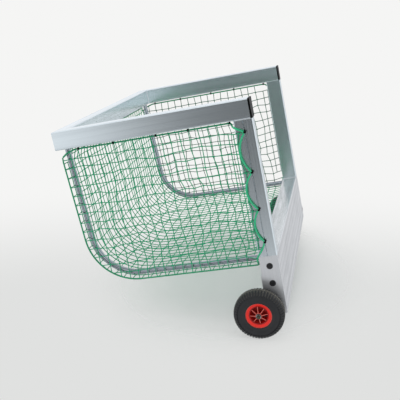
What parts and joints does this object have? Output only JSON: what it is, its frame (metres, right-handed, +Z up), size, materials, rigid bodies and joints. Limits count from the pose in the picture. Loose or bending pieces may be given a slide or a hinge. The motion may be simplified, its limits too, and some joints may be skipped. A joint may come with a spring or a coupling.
{
  "type": "portable hockey goal",
  "caption": "Small-sided aluminium hockey goal with a knotless net on bent hoops, a flat ballast box across the back and wheels for tipping and rolling it away.",
  "frame": {"origin": "on the ground under the middle of the whole goal, its wheels included", "axes": "+X along the crossbar to the right as seen from the pitch, +Y from the mouth to the wheels, +Z up"},
  "size_m": [1.9286, 1.256, 1.07],
  "materials": {
    "frame": "natural extruded aluminium, lengthwise die lines",
    "box": "natural aluminium plate and profile",
    "tube": "natural drawn tube",
    "black_plastic": "moulded, fine texture",
    "ballast_steel": "hot-rolled, oiled",
    "zinc_steel": "bright zinc plated",
    "net_cord": "knotless polypropylene twine",
    "rope": "braided polypropylene rope",
    "axle_steel": "turned, zinc plated",
    "rim_plastic": "moulded red, satin gloss",
    "tyre": "black rubber",
    "tube_rubber": "butyl"
  },
  "bodies": {
    "frame": {"left_post": "frame", "right_post": "frame", "crossbar": "frame", "left_foot_cap": "black_plastic", "right_foot_cap": "black_plastic", "left_base_bar": "frame", "right_base_bar": "frame", "ballast_box": "box", "left_end_plate": "box", "right_end_plate": "box", "left_access_plugs": "black_plastic", "right_access_plugs": "black_plastic", "ballast_bars": "ballast_steel", "left_net_hoop": "tube", "right_net_hoop": "tube", "left_hoop_plates": "tube", "right_hoop_plates": "tube", "hoop_screws": "zinc_steel", "left_side_net": "net_cord", "right_side_net": "net_cord", "roof_net": "net_cord", "bend_net": "net_cord", "rear_net": "net_cord", "border_rope": "rope", "left_seam_cord": "rope", "right_seam_cord": "rope", "left_post_hooks": "black_plastic", "right_post_hooks": "black_plastic", "crossbar_hooks": "black_plastic", "left_base_hooks": "black_plastic", "right_base_hooks": "black_plastic", "box_hooks": "black_plastic", "left_axle_bracket": "zinc_steel", "right_axle_bracket": "zinc_steel", "left_bracket_bolts": "zinc_steel", "right_bracket_bolts": "zinc_steel", "left_axle": "axle_steel", "right_axle": "axle_steel", "left_axle_washers": "zinc_steel", "right_axle_washers": "zinc_steel", "left_axle_nut": "zinc_steel", "right_axle_nut": "zinc_steel"},
    "left_wheel": {"left_rim": "rim_plastic", "left_wheel_centre": "rim_plastic", "left_bushes": "black_plastic", "left_tyre": "tyre", "left_inner_tube": "tube_rubber"},
    "right_wheel": {"right_rim": "rim_plastic", "right_wheel_centre": "rim_plastic", "right_bushes": "black_plastic", "right_tyre": "tyre", "right_inner_tube": "tube_rubber"}
  },
  "joints": [
    {"name": "left_wheel_spin", "type": "hinge", "parent": "frame", "child": "left_wheel", "pos_m": [-0.908, 0.492, 0.14], "axis": [1, 0, 0], "continuous": true},
    {"name": "right_wheel_spin", "type": "hinge", "parent": "frame", "child": "right_wheel", "pos_m": [0.908, 0.492, 0.14], "axis": [1, 0, 0], "continuous": true}
  ]
}
